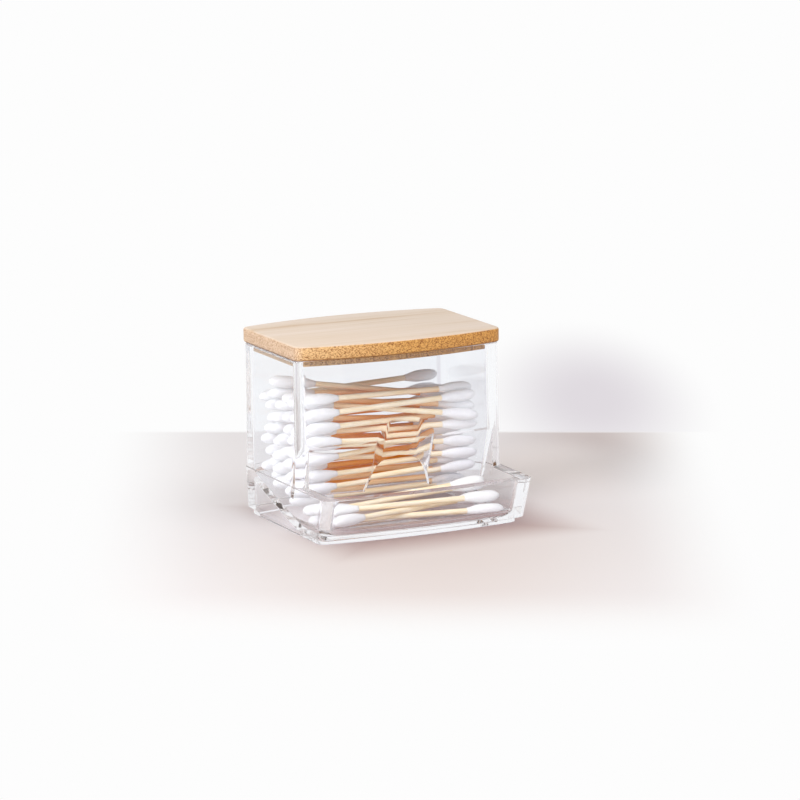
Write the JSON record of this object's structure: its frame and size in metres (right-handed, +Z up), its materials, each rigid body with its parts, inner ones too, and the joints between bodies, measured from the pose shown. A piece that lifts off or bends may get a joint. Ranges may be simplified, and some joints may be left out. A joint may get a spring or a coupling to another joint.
{
  "type": "cotton swab dispenser",
  "caption": "Clear thick-walled cotton swab dispenser with a lift-off bamboo lid; a sloping floor feeds wooden-stick swabs under its front wall into a flared tray.",
  "frame": {"origin": "centre of the bounding box at the face it stands on", "axes": "+Z up, -Y towards the tray at the front, +X to the right of someone facing the tray"},
  "size_m": [0.09, 0.0886, 0.0753],
  "materials": {
    "clear_plastic": "polished clear",
    "bamboo": "sanded, thin clear oil",
    "birch": "plain",
    "cotton": "wound cotton"
  },
  "bodies": {
    "box": {"clear_box": "clear_plastic", "heap_sticks_1": "birch", "heap_buds_1": "cotton", "heap_sticks_2": "birch", "heap_buds_2": "cotton", "heap_sticks_3": "birch", "heap_buds_3": "cotton", "heap_sticks_4": "birch", "heap_buds_4": "cotton", "heap_sticks_5": "birch", "heap_buds_5": "cotton", "heap_sticks_6": "birch", "heap_buds_6": "cotton", "heap_sticks_7": "birch", "heap_buds_7": "cotton", "heap_sticks_8": "birch", "heap_buds_8": "cotton", "tray_stick_1": "birch", "tray_buds_1": "cotton", "tray_stick_2": "birch", "tray_buds_2": "cotton", "tray_stick_3": "birch", "tray_buds_3": "cotton", "tray_stick_4": "birch", "tray_buds_4": "cotton"},
    "lid": {"bamboo_lid": "bamboo"}
  },
  "joints": [
    {"name": "lid_lift", "type": "slide", "parent": "box", "child": "lid", "axis": [0, 0, 1], "range_m": [0, 0.05]}
  ]
}
